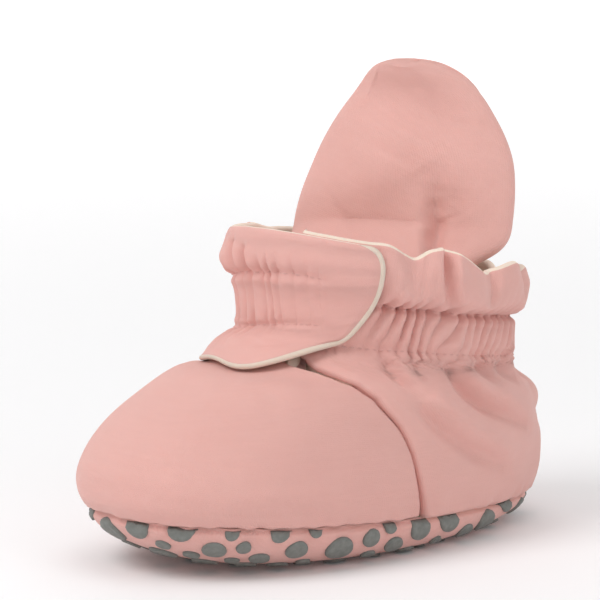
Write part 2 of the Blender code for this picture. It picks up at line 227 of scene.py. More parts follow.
def foldHeights(points, normals, folds, place):
    # Each fold is a line on the cloth, then its width and depth, the ridge on one side,
    # the lip on the other, and its start, where it has them
    away, wide, reach = (foldShape[key] for key in ("ridgeAway", "ridgeWide", "reach"))
    heights = np.zeros(points.shape[:-1])
    for nodes, width, depth, *rest in folds:
        ridge, lip, start = (*rest, 0, 0, 0)[:3]
        t = np.linspace(0, 1, foldShape["steps"])
        nodes = np.array(nodes, float)
        line = place(readRows(nodes, t * (len(nodes) - 1)))
        tangents = unit(np.gradient(line, axis=0))
        low, high = line.min(0) - reach * width, line.max(0) + reach * width
        near = np.all((points > low) & (points < high), axis=-1)
        if not near.any():
            continue
        here = points[near]
        gaps = np.linalg.norm(here[:, None] - line[None], axis=-1)
        nearest = gaps.argmin(1)
        offset = here - line[nearest]
        side = np.einsum("ij,ij->i", np.cross(normals[near], tangents[nearest]), offset)
        along = np.einsum("ij,ij->i", tangents[nearest], offset)
        across = np.sqrt(np.maximum(gaps.min(1) ** 2 - along**2, 0)) * np.sign(side)
        overshoot = np.where((nearest == 0) | (nearest == len(line) - 1), np.abs(along), 0)
        begun = mix(start, 1, t[nearest])  # a start of 0.5 begins at full depth
        fade = np.sin(math.pi * np.clip(begun, 0.02, 0.98)) ** foldShape["endPower"]
        fade *= np.exp(-((overshoot / width) ** 2))
        shape = -depth * bump(across, 0, width)
        shape += ridge * bump(across, away * width, wide * width)
        shape += lip * bump(across, -away * width, wide * width)
        heights[near] += shape * fade
    return heights


def deselect():
    if bpy.context.object and bpy.context.object.mode != "OBJECT":
        bpy.ops.object.mode_set(mode="OBJECT")
    bpy.ops.object.select_all(action="DESELECT")


def clothGrid(name, points, cloth, rowSlots=None, materials=()):
    # A grid primitive laid over the points; cloth gives each point's place on the flat cloth
    rows, columns = points.shape[:2]
    deselect()
    bpy.ops.mesh.primitive_grid_add(x_subdivisions=columns - 1, y_subdivisions=rows - 1, size=1)
    piece = bpy.context.object
    piece.name = name
    mesh = piece.data
    mesh.name = name
    mesh.vertices.foreach_set("co", points.reshape(-1))
    corners = np.zeros(len(mesh.loops), int)
    mesh.loops.foreach_get("vertex_index", corners)
    mesh.uv_layers[0].data.foreach_set("uv", cloth.reshape(-1, 2)[corners].reshape(-1))
    for material in materials:
        mesh.materials.append(material)
    if rowSlots is not None:
        mesh.polygons.foreach_set("material_index", np.repeat(rowSlots, columns - 1))
    mesh.update()
    return piece


def pointPiece(name, points, faces, material):  # many small forms laid point by point on folded cloth
    mesh = bpy.data.meshes.new(name)
    mesh.from_pydata([tuple(point) for point in points], [], faces)
    mesh.materials.append(material)
    mesh.shade_smooth()
    mesh.update()
    piece = bpy.data.objects.new(name, mesh)
    bpy.context.scene.collection.objects.link(piece)
    return piece


def closeUp(piece):  # joins the rows that meet, fills the ends, shades it
    bpy.ops.object.mode_set(mode="EDIT")
    bpy.ops.mesh.select_all(action="SELECT")
    bpy.ops.mesh.remove_doubles(threshold=1e-6)
    bpy.ops.mesh.select_all(action="SELECT")
    bpy.ops.mesh.fill_holes(sides=0)
    bpy.ops.object.mode_set(mode="OBJECT")
    bpy.ops.object.shade_smooth_by_angle(angle=math.radians(60))
    return piece


def padShell(name, outer, wall, materials, rimRows=5, innerRows=16, edge=0.35, normals=None):
    # Closed padded cloth: the outer grid, a round rim, and the lining inside
    normals = gridNormals(outer) if normals is None else normals
    thick = np.broadcast_to(np.asarray(wall, float), outer.shape[:2])[..., None]
    inner = outer - normals * thick
    top, topInner = outer[-1], inner[-1]
    middle, reach = (top + topInner) / 2, (top - topInner) / 2
    rise = unit(outer[-1] - outer[-3]) * np.linalg.norm(reach, axis=-1, keepdims=True)
    turns = [math.pi * (k + 1) / (rimRows + 1) for k in range(rimRows)]
    rimArc = np.array([middle + reach * math.cos(t) + rise * math.sin(t) for t in turns])
    picks = np.unique(np.linspace(0, len(outer) - 1, innerRows).astype(int))[::-1]
    loop = np.concatenate([outer, rimArc, inner[picks], outer[:1]])
    across = arcLengths(outer, 1)
    upward = arcLengths(outer, 0)
    cloth = np.stack([across, upward], -1)
    arcCloth = np.repeat(cloth[-1:], rimRows, 0)
    cloth = np.concatenate([cloth, arcCloth, cloth[picks], cloth[:1]])
    slots = np.zeros(len(loop) - 1, int)
    slots[len(outer) - 1 + int(edge * (rimRows + 1)):] = 1
    piece = closeUp(clothGrid(name, loop, cloth, slots, materials))
    for face in piece.data.polygons:  # the wall's ends show the outer cloth
        if len(face.vertices) > 4:
            face.material_index = 0
    return piece


def finishPiece(piece, nodes=()):
    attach(piece, "root")
    if nodes:
        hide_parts(*nodes)
    triangles = sum(len(p.vertices) - 2 for p in piece.data.polygons)
    print(f"{piece.name}: {triangles} triangles")
    return piece


# Materials
looks = {
    "rose": (0.785, 0.442, 0.397), "roseDeep": (0.690, 0.355, 0.315),
    "cream": (0.900, 0.760, 0.640), "grip": (0.195, 0.205, 0.190),
    "thread": (0.740, 0.400, 0.360), "stitchSize": 0.00055,
}


# the knit's loops, fuzz, streaks and crumples: their scales, then their shares of the height and tint; the
# gap tint is painted shade in the hollows between the loops
knitLook = {
    "course": 1.3, "lean": 1.1, "loop": 0.3, "fuzzScale": 2600, "streakScale": (90, 700, 1),
    "crumpleScale": 260, "patchScale": 55, "knitHeight": 0.45, "fuzzHeight": 0.55, "streakHeight": 0.5,
    "crumpleHeight": 1.6, "patchTint": 0.5, "streakTint": 0.3, "gapShadeTint": 0.16,
    "tintSpread": (0.36, 0.86, 0.0, 0.55),
}


def mapRange(nodes, limits):  # limits: lowest and highest value in, then out
    node = nodes.new("ShaderNodeMapRange")
    for socket, value in zip(("From Min", "From Max", "To Min", "To Max"), limits):
        node.inputs[socket].default_value = value
    return node


def jerseyGroup():
    # Fine knit cloth: its height, and a tint that wanders a little over the piece, with painted shade in the
    # gaps between the loops
    group = bpy.data.node_groups.new("jersey", "ShaderNodeTree")
    face = group.interface
    for name, kind in (("Cloth", "Vector"), ("Place", "Vector"), ("Light", "Color"), ("Deep", "Color")):
        face.new_socket(name=name, in_out="INPUT", socket_type=f"NodeSocket{kind}")
    for name, kind in (("Color", "Color"), ("Height", "Float")):
        face.new_socket(name=name, in_out="OUTPUT", socket_type=f"NodeSocket{kind}")
    nodes, links = group.nodes, group.links
    enter, leave = nodes.new("NodeGroupInput"), nodes.new("NodeGroupOutput")

    def math2(kind, a, b=None):
        node = nodes.new("ShaderNodeMath")
        node.operation = kind
        for k, value in enumerate((a, b)):
            if value is None:
                continue
            if isinstance(value, (int, float)):
                node.inputs[k].default_value = value
            else:
                links.new(value, node.inputs[k])
        return node.outputs[0]

    def noise(vector, scale, detail):
        node = nodes.new("ShaderNodeTexNoise")
        node.inputs["Scale"].default_value = scale
        node.inputs["Detail"].default_value = detail
        links.new(vector, node.inputs["Vector"])
        return node.outputs[0]

    split = nodes.new("ShaderNodeSeparateXYZ")
    links.new(enter.outputs["Cloth"], split.inputs[0])
    wale = math2("MULTIPLY", split.outputs[0], 1 / looks["stitchSize"])
    course = math2("MULTIPLY", split.outputs[1], knitLook["course"] / looks["stitchSize"])
    ridge = math2("ABSOLUTE", math2("SINE", math2("MULTIPLY", wale, math.pi)))
    lean = math2("MULTIPLY", math2("PINGPONG", wale, 0.5), knitLook["lean"])
    loops = math2("SINE", math2("MULTIPLY", math2("ADD", course, lean), 2 * math.pi))
    loops = math2("MULTIPLY", loops, knitLook["loop"])
    knit = math2("MULTIPLY", ridge, math2("ADD", loops, 1 - knitLook["loop"]))
    fuzz = noise(enter.outputs["Place"], knitLook["fuzzScale"], 3)
    slub = nodes.new("ShaderNodeMapping")
    slub.inputs["Scale"].default_value = knitLook["streakScale"]
    links.new(enter.outputs["Cloth"], slub.inputs["Vector"])
    streak = noise(slub.outputs[0], 1, 2)
    crumple = noise(enter.outputs["Place"], knitLook["crumpleScale"], 3)
    patch = noise(enter.outputs["Place"], knitLook["patchScale"], 3)

    def sumOf(*parts):  # each part is an output and the name of its share
        total = None
        for output, share in parts:
            part = math2("MULTIPLY", output, knitLook[share])
            total = part if total is None else math2("ADD", total, part)
        return total

    height = sumOf((knit, "knitHeight"), (fuzz, "fuzzHeight"), (streak, "streakHeight"),
                   (crumple, "crumpleHeight"))
    links.new(height, leave.inputs["Height"])
    # painted shade: where the knit is low, in the gaps between the loops, the colour is tinted towards the
    # deep colour
    gaps = math2("SUBTRACT", 1.0, knit)
    tint = sumOf((patch, "patchTint"), (streak, "streakTint"), (gaps, "gapShadeTint"))
    spread = mapRange(nodes, knitLook["tintSpread"])
    links.new(tint, spread.inputs["Value"])
    blend = nodes.new("ShaderNodeMix")
    blend.data_type = "RGBA"
    links.new(spread.outputs[0], blend.inputs["Factor"])
    links.new(enter.outputs["Light"], blend.inputs["A"])
    links.new(enter.outputs["Deep"], blend.inputs["B"])
    links.new(blend.outputs["Result"], leave.inputs["Color"])
    return group


jersey = jerseyGroup()


def newMaterial(name):
    material = bpy.data.materials.new(name)
    material.use_nodes = True
    tree = material.node_tree
    return material, tree.nodes, tree.links, tree.nodes["Principled BSDF"]


def addRelief(nodes, links, height, shader, strength, distance):
    relieved = nodes.new("ShaderNodeBump")
    relieved.inputs["Strength"].default_value = strength
    relieved.inputs["Distance"].default_value = distance
    links.new(height, relieved.inputs["Height"])
    links.new(relieved.outputs[0], shader.inputs["Normal"])


def clothMaterial(name, light, deep, relief=0.0002, rough=0.85, sheen=0.2):
    material, nodes, links, shader = newMaterial(name)
    place = nodes.new("ShaderNodeTexCoord")
    knit = nodes.new("ShaderNodeGroup")
    knit.node_tree = jersey
    knit.inputs["Light"].default_value = (*light, 1)
    knit.inputs["Deep"].default_value = (*deep, 1)
    links.new(place.outputs["UV"], knit.inputs["Cloth"])
    links.new(place.outputs["Object"], knit.inputs["Place"])
    addRelief(nodes, links, knit.outputs["Height"], shader, 0.6, relief)
    links.new(knit.outputs["Color"], shader.inputs["Base Color"])
    shader.inputs["Roughness"].default_value = rough
    shader.inputs["Sheen Weight"].default_value = sheen
    shader.inputs["Sheen Roughness"].default_value = 0.45
    shader.inputs["Sheen Tint"].default_value = (1.0, 0.86, 0.82, 1)
    shader.inputs["Subsurface Weight"].default_value = 0.12
    shader.inputs["Subsurface Radius"].default_value = (1.0, 0.45, 0.35)
    shader.inputs["Subsurface Scale"].default_value = 0.0015
    return material


def shade(colour, factor):
    return tuple(channel * factor for channel in colour)


roseCloth = clothMaterial("roseCloth", looks["rose"], looks["roseDeep"])
creamCloth = clothMaterial("creamCloth", looks["cream"], shade(looks["cream"], 0.88), sheen=0.3)
threadMaterial = clothMaterial("roseThread", looks["thread"], shade(looks["thread"], 0.8), relief=0.00003)


def gripMaterial():
    material, nodes, links, shader = newMaterial("greyGrip")
    place = nodes.new("ShaderNodeTexCoord")
    grain = nodes.new("ShaderNodeTexNoise")
    grain.inputs["Scale"].default_value = 900
    grain.inputs["Detail"].default_value = 3
    links.new(place.outputs["Object"], grain.inputs["Vector"])
    ramp = nodes.new("ShaderNodeValToRGB")
    for stop, position, factor in zip(ramp.color_ramp.elements, (0.3, 0.75), (0.85, 1.15)):
        stop.position = position
        stop.color = (*shade(looks["grip"], factor), 1)
    links.new(grain.outputs[0], ramp.inputs["Fac"])
    links.new(ramp.outputs[0], shader.inputs["Base Color"])
    addRelief(nodes, links, grain.outputs[0], shader, 0.4, 0.00006)
    shader.inputs["Roughness"].default_value = 0.62
    return material


gripRubber = gripMaterial()
print("materials ready")

# The gathered ankle, shared by the wings and the flap
ankle = {
    "gatherPitch": 6.2, "gatherDepth": 0.0021, "gatherSlant": 5.0,
    "rowLow": 7.05, "rowHigh": 9.05, "rowPinch": 0.0017, "bandPuff": 0.0004,
    "bulge": 0.0015, "flare": 0.0004, "puff": 0.0009,
}
gatherFade = np.array([
    (5.7, 0.0), (6.4, 0.20), (6.9, 0.52), (7.05, 0.60), (7.4, 0.66), (8.1, 0.72), (8.7, 1.0),
    (9.05, 1.2), (9.35, 0.80), (9.8, 0.22), (10.6, 0.05), (12, 0.0),
])
# degrees, then out and up in millimetres: the round folds of the ruffle's rim
ruffleWaves = np.array([
    (36, 0.0, 0.0), (50, 0.4, 0.2), (58, 0.9, 0.5), (66, 0.3, -1.0), (70, -0.6, -1.5), (76, 0.7, 0.9),
    (82, 1.2, 1.8), (90, 1.5, 0.7), (99, 1.0, -1.5), (106, -0.4, -2.0), (115, 0.7, 0.0), (124, 1.5, 1.4),
    (133, 0.9, 0.3), (141, -0.7, -0.9), (151, 1.2, 0.7), (160, 1.3, 0.6), (170, -0.8, -0.9),
    (180, 1.2, 0.7), (189, 1.3, 0.3), (199, -0.9, -0.8), (209, 1.1, 0.8), (218, 1.2, 0.4),
    (228, -0.8, -0.9), (239, 1.2, 0.7), (248, 1.0, 0.2), (257, -0.7, -0.7), (268, 1.1, 0.6),
    (278, 0.9, 0.3), (287, -0.3, -0.3), (295, 0.3, 0.1), (300, 0.0, 0.0),
])


def gatherHeight(degrees, level):
    turn = (degrees - ankle["gatherSlant"] * (level - 8)) / ankle["gatherPitch"]
    turn = turn + 0.30 * wobble(degrees, 19.0, 3) + 0.10 * wobble(degrees + level * 5, 27.0, 4)
    ridge = np.abs(np.sin(math.pi * turn)) ** 0.75
    vary = 0.85 + 0.32 * wobble(degrees, 21.0, 5)
    covered = np.where(degrees < 180, mix(0.25, 1, ease(degrees, 44, 56)), 1)
    fade = np.interp(level, gatherFade[:, 0], gatherFade[:, 1])
    return (ridge - 0.6) * ankle["gatherDepth"] * vary * covered * fade


def bandHeight(level):
    height = ankle["bandPuff"] * bump(level, 8.0, 0.7)
    height = height - 0.4 * ankle["rowPinch"] * bump(level, ankle["rowLow"], 0.16)
    return height - ankle["rowPinch"] * bump(level, ankle["rowHigh"], 0.18)


def ruffleShift(degrees, level):
    # The ruffle's folds, and the bulge with which it hangs over the band
    place = np.interp(degrees, ruffleWaves[:, 0], np.arange(len(ruffleWaves)))
    waves = readRows(ruffleWaves[:, 1:], place) / 1000 * ease(level, bandTop, 11.2)[..., None]
    uncovered = np.where(degrees < 180, ease(degrees, 50, 64), 1)
    bulge = ankle["bulge"] * bump(level, 9.95, 0.55) * uncovered * (0.9 + 0.25 * wobble(degrees, 30, 9))
    angle = np.radians(degrees)
    outward = np.stack([np.sin(angle), -np.cos(angle), 0 * angle], -1)
    flare = ankle["flare"] * uncovered * ease(level, 10, 12)
    puff = ankle["puff"] * uncovered * bump(level, 10.8, 0.7)
    shift = outward * (waves[..., 0] + bulge + flare + puff)[..., None]
    shift[..., 2] += waves[..., 1] - 0.3 * bulge
    return shift


def gridRow(points, levels, where):  # the surface and its normal at one level of every column
    normals = gridNormals(points)
    path, out = np.empty((2, points.shape[1], 3))
    for column in range(points.shape[1]):
        for axis in range(3):
            path[column, axis] = np.interp(where[column], levels[:, column], points[:, column, axis])
            out[column, axis] = np.interp(where[column], levels[:, column], normals[:, column, axis])
    return path, unit(out)


# The wings: heel quarter, elastic band and ruffle in one padded cloth
quarter = {
    "columns": 500, "wall": 0.0017, "rimWall": 0.0021, "edgeRoll": 0.0013, "edgeWelt": 0.00035,
    "unevenness": 0.00028, "seamDrop": 0.0009, "seamPucker": 0.00022,
    "bridge": 90, "hollow": (5.6, 6.6, 7.5, 8.3),  # rounds of smoothing, and the levels it covers
    "folds": [  # line of levels and degrees, width, depth, ridge, lip, start
        ([(12.0, 83.5), (11.2, 82.5), (10.4, 83), (9.3, 86)], 0.0012, 0.0034, 0.0008, 0.0008, 0.4),
        ([(12.0, 66), (11.2, 67), (10.3, 66)], 0.0014, 0.0009, 0, 0, 0.4),
        ([(12.0, 110), (11.2, 109), (10.2, 106)], 0.0013, 0.0012, 0, 0, 0.4),
        *(([(12.0, a), (11.0, b), (9.8, c)], 0.0012, 0.0018, 0, 0, 0.4)
          for a, b, c in ((141, 140, 142), (170, 171, 169), (199, 198, 200), (228, 229, 227),
                          (257, 256, 258))),
        ([(6.8, 59), (6.5, 64), (5.9, 74), (5.2, 84)], 0.0015, 0.0020, 0.0011),
        ([(6.7, 73), (6.3, 78), (5.8, 84)], 0.0013, 0.0010, 0.0004),
        ([(6.75, 87), (6.2, 95), (5.0, 105), (3.9, 119), (2.8, 136)], 0.0019, 0.0028, 0.0020),
        ([(4.7, 86), (4.1, 92), (2.9, 105), (1.7, 123)], 0.0021, 0.0021, 0.0019),
        ([(6.8, 106), (6.2, 111), (5.5, 121)], 0.0014, 0.0018, 0.0010),
        ([(6.8, 124), (6.0, 129), (5.0, 142)], 0.0018, 0.0020, 0.0013),
        ([(6.8, 150), (5.8, 153), (4.7, 165)], 0.0020, 0.0021, 0.0013),
        ([(6.9, 172), (6.2, 175), (5.3, 172)], 0.0015, 0.0014, 0.0007),
        ([(6.9, 192), (6.0, 196), (5.0, 191)], 0.0018, 0.0019, 0.0010),
        ([(6.8, 222), (5.9, 228), (4.8, 240), (4.0, 246)], 0.0020, 0.0022, 0.0015),
        ([(6.8, 244), (6.2, 250), (5.4, 259)], 0.0015, 0.0016, 0.0010),
        ([(6.8, 264), (6.1, 270), (5.2, 275)], 0.0015, 0.0018, 0.0010),
        ([(4.9, 214), (4.0, 228), (3.0, 246)], 0.0026, 0.0022, 0.0018),
        ([(3.2, 150), (2.6, 168), (2.9, 186)], 0.0030, 0.0016, 0.0013),
    ],
}


def quarterLevels():
    return np.concatenate([
        np.linspace(0, 5.6, 48), np.linspace(5.68, 6.9, 16), np.linspace(6.95, 7.2, 6),
        np.linspace(7.3, 8.8, 12), np.linspace(8.86, 9.3, 9), np.linspace(9.38, 12, 28),
    ])


def underFlap(degrees):  # how deep the wall lies so that the flap can pass over it
    share = np.clip((last["flapEnd"] - degrees) / (last["flapEnd"] - last["flapRoot"]), 0, 1)
    return last["flapThick"] * share


def quarterGrid():
    levels = quarterLevels()[:, None]
    edges = wingEdges(levels[:, 0])
    across = np.linspace(0, 1, quarter["columns"])[None]
    degrees = mix(edges[:, :1], 360 - edges[:, 1:], across)
    level = np.broadcast_to(levels, degrees.shape)
    start, full, fading, stop = quarter["hollow"]
    hollow = (ease(level, start, full) * (1 - ease(level, fading, stop)))[..., None]
    base, normals = lastPoint(degrees, level), lastNormal(degrees, level)
    base = mix(base, bridged(base, quarter["bridge"]), hollow)
    normals = unit(mix(normals, bridged(normals, quarter["bridge"]), hollow))
    fromEdge = arcLengths(base, 1)
    toEnd = fromEdge[:, -1:] - fromEdge
    roll = quarter["edgeRoll"]
    height = -underFlap(degrees) * ease(level, 5.2, 6.1)
    for gap in (fromEdge, np.where(level < 6.3, toEnd, 1.0)):
        inside = np.clip(roll - gap, 0, roll)
        height = height - (roll - np.sqrt(np.maximum(roll**2 - inside**2, 0)))
        height = height + quarter["edgeWelt"] * bump(gap, 0.004, 0.0025)
    height = height + gatherHeight(degrees, level) + bandHeight(level)
    height = height + foldHeights(base, normals, quarter["folds"], onLast)
    height = height + quarter["unevenness"] * softNoise(base, 0.016, 11) * ease(level, 0.3, 1.5)
    seam = 1 - ease(level, 0, 0.35)
    pucker = quarter["seamPucker"] * wobble(degrees, 5, 12) * (1 - ease(level, 0.2, 1.2))
    height = height - quarter["seamDrop"] * seam + pucker
    return base + normals * height[..., None] + ruffleShift(degrees, level), normals, level


quarterPoints, quarterNormals, quarterLevel = quarterGrid()
quarterWall = mix(quarter["wall"], quarter["rimWall"], ease(quarterLevel, 9.2, 12))
quarterPiece = padShell("quarter", quarterPoints, quarterWall, (roseCloth, creamCloth), innerRows=50,
                        edge=0.25, normals=quarterNormals)
finishPiece(quarterPiece, ["upper"])

# The padded toe panel, which runs on behind the flap
toe = {
    "columns": 300, "tuck": 2.5, "wall": 0.0018, "drop": 0.0004, "grooveDepth": 0.0016, "groove": 0.0022,
    "unevenness": 0.00014, "sideDrop": 0.0022, "flapGap": 0.0003, "seamDrop": 0.0008, "seamPucker": 0.00024,
    "folds": [
        ([(5.6, 22), (5.0, 34), (4.3, 44)], 0.0030, 0.0004, 0.0003),
        ([(1.5, -12), (1.7, 8), (1.6, 28)], 0.0022, 0.0003, 0.0003),
        ([(2.4, -4), (2.6, 14), (2.5, 34)], 0.0022, 0.0002, 0.0002),
        ([(0.8, 40), (1.1, 56), (0.8, 72)], 0.0018, 0.0004, 0.0004),
    ],
}


def makeToe():
    levels = np.concatenate([np.linspace(0, 6.4, 94), np.linspace(6.5, 11.4, 20)])[:, None]
    edges = wingEdges(levels[:, 0])
    across = np.linspace(0, 1, toe["columns"])[None]
    start, stop = -edges[:, 1:] - toe["tuck"], edges[:, :1] + toe["tuck"]
    degrees = mix(start, stop, across)
    level = np.broadcast_to(levels, degrees.shape)
    base = lastPoint(degrees, level)
    along = arcLengths(base, 1)
    tuckLength = toe["tuck"] / (stop - start) * along[:, -1:]
    leftGap = along[:, -1:] - along - tuckLength
    rightGap = along - tuckLength
    height = -toe["drop"] - toe["grooveDepth"] * (1 - ease(leftGap, -0.0002, toe["groove"]))
    height = height - toe["sideDrop"] * (1 - ease(rightGap, -0.001, 0.012)) * ease(level, 0.0, 2.4)
    height = height - (underFlap(degrees) + toe["flapGap"]) * ease(level, 5.3, 6.2)
    normals = gridNormals(base)
    height = height + foldHeights(base, normals, toe["folds"], onLast)
    height = height + toe["unevenness"] * softNoise(base, 0.02, 21)
    height = height - toe["seamDrop"] * (1 - ease(level, 0, 0.3))
    height = height + toe["seamPucker"] * wobble(degrees, 5.5, 22) * (1 - ease(level, 0.2, 1.0))
    points = base + normals * height[..., None]
    return padShell("toePanel", points, toe["wall"], (roseCloth, creamCloth), innerRows=24)


toePiece = finishPiece(makeToe(), ["upper"])

# The closure flap, wrapped over the front of the ankle
flap = {
    "columns": 230, "rows": 90, "thick": 0.0019, "edgeThick": 0.0011, "edgeTaper": 0.0026, "bridge": 60,
    "piping": 0.00070, "pipingSink": 0.0006, "pipingStep": 0.0004, "hemWide": 0.006, "unevenness": 0.00014,
    "gatherPitch": 5.6, "gatherDepth": 0.0019, "pinch": 0.0012, "hang": 0.0017, "hem": 0.0003, "tuck": 0.0012,
    "folds": [
        ([(11.4, -37), (10.7, -34), (10.0, -32)], 0.0012, 0.0022, 0.0009),
        ([(11.3, -24), (10.7, -22), (9.9, -21)], 0.0011, 0.0024, 0.0009),
        ([(11.3, -14), (10.8, -13), (10.1, -12)], 0.0010, 0.0019, 0.0007),
        ([(11.2, -5), (10.8, -5), (10.2, -4)], 0.0009, 0.0012, 0.0005),
        ([(6.2, -20), (6.5, 4), (6.9, 24)], 0.0016, 0.0004, 0.0003),
    ],
}
# the flap's edges as degrees and level: lower edge, round end, upper edge
flapLow = np.array([
    (-60.6, 5.80), (-46, 5.80), (-32, 5.97), (-18, 6.10), (-7, 6.10), (3, 6.02), (12, 6.10), (22, 6.38),
    (30, 6.72), (36, 7.10),
])
flapRound = np.array([
    (36, 7.10), (39.5, 7.50), (43, 7.92), (46.6, 8.36), (49.6, 8.90), (52, 9.55), (53.6, 10.1),
    (54.5, 10.6), (54.8, 11.1), (54.3, 11.55), (53, 11.86), (51, 11.98),
])
flapTop = np.array([
    (-60.6, 12.0), (-37, 11.60), (-20, 11.62), (0, 11.85), (20, 11.98), (36, 12.0), (51, 11.98),
])
# degrees, then the levels of the lower and upper row of stitches
flapStitchLevels = np.array([
    (-60.6, 7.05, 9.05), (-37, 6.95, 9.45), (-20, 6.95, 9.72), (0, 7.45, 10.02), (11, 7.75, 10.20),
    (22, 7.93, 10.28), (30, 7.97, 10.24), (40, 8.0, 10.2), (55, 8.2, 10.2),
])


def flapStitchRows(degrees):
    place = np.interp(degrees, flapStitchLevels[:, 0], np.arange(len(flapStitchLevels)))
    return np.moveaxis(readRows(flapStitchLevels[:, 1:], place), -1, 0)


def evenEdge(rows, count):  # an edge's degrees and levels at even steps over the last
    fine = readRows(rows, np.linspace(0, len(rows) - 1, 800))
    gaps = arcLengths(lastPoint(fine[:, 0], fine[:, 1])[None], 1)[0]
    where = np.linspace(0, gaps[-1], count)
    return np.stack([np.interp(where, gaps, fine[:, k]) for k in (0, 1)], -1)


def flapPlaces():  # degrees and level over the flap, spread between its four edges
    low, top = evenEdge(flapLow, flap["columns"]), evenEdge(flapTop, flap["columns"])
    root = evenEdge(np.array([flapLow[0], flapTop[0]]), flap["rows"])[:, None]
    tip = evenEdge(flapRound, flap["rows"])[:, None]
    u = np.linspace(0, 1, flap["columns"])[None, :, None]
    v = np.linspace(0, 1, flap["rows"])[:, None, None]
    corners = mix(mix(low[0], low[-1], u), mix(top[0], top[-1], u), v)
    places = mix(low[None], top[None], v) + mix(root, tip, u) - corners
    return places[..., 0], places[..., 1]


def flapRelief(degrees, level, rowLow, rowHigh):
    # Gathers held by two rows of stitches, deepest at the root and gone towards the round end
    strong = 1 - ease(degrees, -16, 26)
    held = 1 - ease(degrees, 24, 38)
    turn = degrees / flap["gatherPitch"] + 0.3 * wobble(degrees, 17, 31)
    turn = turn + 0.1 * wobble(degrees + level * 4, 26, 32)
    ridge = np.abs(np.sin(math.pi * turn)) ** 0.8 - 0.6
    between = ease(level, rowLow, rowLow + 0.4) * (1 - ease(level, rowHigh - 0.4, rowHigh))
    rows = 0.6 * bump(level, rowLow, 0.5) + 1.25 * bump(level, rowHigh + 0.15, 0.5) + 0.45 * between
    height = ridge * flap["gatherDepth"] * rows * (0.22 + 0.78 * strong) * held
    pinch = 0.6 * bump(level, rowLow, 0.17) + bump(level, rowHigh, 0.2)
    height = height - flap["pinch"] * pinch * held * (0.4 + 0.6 * strong)
    hang = (0.3 + 0.7 * (1 - ease(degrees, -24, 8))) * held
    height = height + flap["hang"] * hang * bump(level, rowHigh + 0.8, 0.58)
    return height + flap["hem"] * held * bump(level, rowLow - 0.7, 0.5)


def flapGrid():
    degrees, level = flapPlaces()
    rowLow, rowHigh = flapStitchRows(degrees)
    base = bridged(lastPoint(degrees, level), flap["bridge"])
    normals = unit(bridged(lastNormal(degrees, level), flap["bridge"]))
    along = arcLengths(base, 1)
    taper = 1 - ease(np.minimum(arcLengths(base, 0), along[:, -1:] - along), 0, flap["edgeTaper"])
    wall = mix(flap["thick"], flap["edgeThick"], taper)
    height = last["flapThick"] - underFlap(degrees) + flapRelief(degrees, level, rowLow, rowHigh)
    nearHem = 1 - ease(arcLengths(base, 0), 0, flap["hemWide"])
    height = height - flap["tuck"] * nearHem * (1 - ease(degrees, -2, 32))
    height = height + foldHeights(base, normals, flap["folds"], onLast)
    height = height + flap["unevenness"] * softNoise(base, 0.012, 33) - (flap["thick"] - wall) / 2
    return base + normals * height[..., None], normals, degrees, level, wall


flapPoints, flapNormals, flapDegree, flapLevel, flapWall = flapGrid()
flapPiece = padShell("closureFlap", flapPoints, flapWall, (roseCloth, creamCloth), innerRows=45, edge=0.45,
                     normals=flapNormals)
finishPiece(flapPiece, ["closure_flap"])

# The tall padded tongue
tongue = {
    "top": 0.1042, "drop": 0.0040, "width": 0.0500, "thick": 0.0085, "turn": 30.0, "bow": 0.0040,
    "plump": 0.8, "rows": 130, "sides": 220, "wall": 0.002, "unevenness": 0.00025,
    "folds": [  # line of shares of the rise and shares across, width, depth, ridge, lip
        ([(0.22, 0.92), (0.28, 0.78), (0.32, 0.62), (0.36, 0.47), (0.43, 0.37), (0.52, 0.33)],
         0.0019, 0.0036, 0.0008, -0.0012),
        ([(0.28, -0.85), (0.24, -0.50), (0.20, -0.10), (0.17, 0.25)], 0.0044, 0.0018),
        ([(0.90, -0.75), (0.86, -0.2), (0.82, 0.35), (0.78, 0.8)], 0.0060, 0.0018, 0, 0.0006),
        ([(0.44, -0.5), (0.54, -0.25), (0.66, -0.15)], 0.0065, -0.0014),
        ([(0.62, 0.20), (0.52, 0.40), (0.44, 0.62)], 0.0050, 0.0010),
    ],
}
# back, rise, turn, wide, thick, bow: from the sewn root to the top
tongueRows = np.array([
    (0.026, 0.000, 0.00, 0.40, 0.26, 1.00), (0.034, 0.070, 0.00, 0.44, 0.34, 1.05),
    (0.170, 0.150, 0.35, 0.56, 0.52, 0.80), (0.330, 0.240, 0.80, 0.75, 0.72, 0.60),
    (0.450, 0.320, 1.00, 0.90, 0.86, 0.60), (0.533, 0.388, 1.00, 1.00, 0.96, 0.75),
    (0.559, 0.454, 1.00, 1.01, 1.00, 0.80), (0.584, 0.564, 1.00, 0.98, 1.00, 0.80),
    (0.606, 0.675, 1.00, 0.91, 0.97, 0.75), (0.621, 0.785, 1.00, 0.77, 0.90, 0.60),
    (0.623, 0.896, 1.00, 0.57, 0.78, 0.45), (0.594, 0.970, 1.00, 0.36, 0.56, 0.30),
    (0.570, 1.000, 1.00, 0.15, 0.30, 0.10),
])


def tongueMiddle(position):
    row = readRows(tongueRows, position)
    start = last["ankleCentre"] - last["ankleLength"] / 2 + tongue["wall"] + underFlap(0.0)
    y = start + row[..., 0] * last["ankleLength"]
    z = mix(last["instep"] - tongue["drop"], tongue["top"], row[..., 1])
    return np.stack([0 * y, y, z], -1), row


